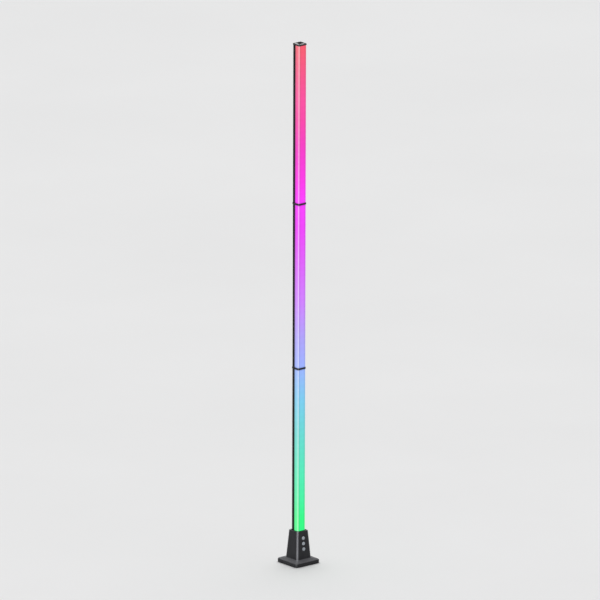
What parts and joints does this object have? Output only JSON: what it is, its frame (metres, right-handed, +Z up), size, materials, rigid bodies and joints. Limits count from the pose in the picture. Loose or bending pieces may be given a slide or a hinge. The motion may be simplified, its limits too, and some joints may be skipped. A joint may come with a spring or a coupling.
{
  "type": "led light tube",
  "caption": "Free-standing colour light tube: square milky tube sections with a black channel back plug together end to end and stand in a weighted tapered base with round push buttons.",
  "frame": {"origin": "centre of the square footprint, on the surface the lamp stands on", "axes": "+Z up along the tube; -Y towards the base's button face; +Y towards the black channel and the power inlet"},
  "size_m": [0.081, 0.081, 1.4],
  "materials": {
    "base_plastic": "charcoal, fine satin moulded texture",
    "button_plastic": "light grey, satin",
    "black_aluminium": "black anodised, satin, extruded",
    "diffuser_lower": "milky, satin, lit green to cyan",
    "diffuser_middle": "milky, satin, lit light blue to violet",
    "diffuser_upper": "milky, satin, lit magenta to rose",
    "gloss_trim": "black, glossy",
    "inner_plastic": "black, moulded",
    "rubber": "black, matte",
    "weight_steel": "plain rolled steel",
    "inlet_steel": "nickel-plated",
    "screw_steel": "black oxide",
    "circuit_board": "green solder mask",
    "chip_plastic": "black, moulded",
    "white_plastic": "white, satin",
    "lead_rubber": "red insulation",
    "contact_brass": "polished"
  },
  "bodies": {
    "base": {"base_shell": "base_plastic", "socket_gasket": "rubber", "tube_socket": "inner_plastic", "socket_contacts": "contact_brass", "weight_plate": "weight_steel", "bottom_cover": "inner_plastic", "power_inlet": "inlet_steel", "inlet_lead": "lead_rubber", "socket_lead": "lead_rubber", "foot_front_left": "rubber", "foot_front_right": "rubber", "foot_rear_left": "rubber", "foot_rear_right": "rubber", "cover_screw_1": "screw_steel", "cover_screw_2": "screw_steel", "cover_screw_3": "screw_steel", "cover_screw_4": "screw_steel", "socket_screw_1": "screw_steel", "socket_screw_2": "screw_steel", "control_board": "circuit_board", "board_screw_1": "screw_steel", "board_screw_2": "screw_steel", "controller_chip": "chip_plastic", "board_connector": "white_plastic", "power_switch": "chip_plastic", "colour_switch": "chip_plastic", "mode_switch": "chip_plastic"},
    "power_button_body": {"power_button": "button_plastic", "power_plunger": "chip_plastic"},
    "colour_button_body": {"colour_button": "button_plastic", "colour_plunger": "chip_plastic"},
    "mode_button_body": {"mode_button": "button_plastic", "mode_plunger": "chip_plastic"},
    "lower_tube": {"lower_channel": "black_aluminium", "lower_diffuser": "diffuser_lower", "lower_led_strip": "white_plastic", "lower_bottom_screw": "screw_steel", "lower_top_screw": "screw_steel", "lower_plug": "inner_plastic", "lower_plug_contacts": "contact_brass", "lower_coupler": "gloss_trim", "lower_coupler_contacts": "contact_brass"},
    "middle_tube": {"middle_channel": "black_aluminium", "middle_diffuser": "diffuser_middle", "middle_led_strip": "white_plastic", "middle_bottom_screw": "screw_steel", "middle_top_screw": "screw_steel", "middle_socket": "inner_plastic", "middle_socket_contacts": "contact_brass", "upper_coupler": "gloss_trim", "upper_coupler_contacts": "contact_brass"},
    "upper_tube": {"upper_channel": "black_aluminium", "upper_diffuser": "diffuser_upper", "upper_led_strip": "white_plastic", "upper_bottom_screw": "screw_steel", "upper_top_screw": "screw_steel", "upper_socket": "inner_plastic", "upper_socket_contacts": "contact_brass", "top_cap": "gloss_trim"}
  },
  "joints": [
    {"name": "power_press", "type": "slide", "parent": "base", "child": "power_button_body", "axis": [0, 0.9972, -0.0745], "range_m": [0, 0.0005], "stiffness_N_per_m": 300},
    {"name": "colour_press", "type": "slide", "parent": "base", "child": "colour_button_body", "axis": [0, 0.9972, -0.0745], "range_m": [0, 0.0005], "stiffness_N_per_m": 300},
    {"name": "mode_press", "type": "slide", "parent": "base", "child": "mode_button_body", "axis": [0, 0.9972, -0.0745], "range_m": [0, 0.0005], "stiffness_N_per_m": 300},
    {"name": "lower_tube_lift", "type": "slide", "parent": "base", "child": "lower_tube", "axis": [0, 0, 1], "range_m": [0, 0.06]},
    {"name": "middle_tube_lift", "type": "slide", "parent": "lower_tube", "child": "middle_tube", "axis": [0, 0, 1], "range_m": [0, 0.045]},
    {"name": "upper_tube_lift", "type": "slide", "parent": "middle_tube", "child": "upper_tube", "axis": [0, 0, 1], "range_m": [0, 0.045]}
  ]
}
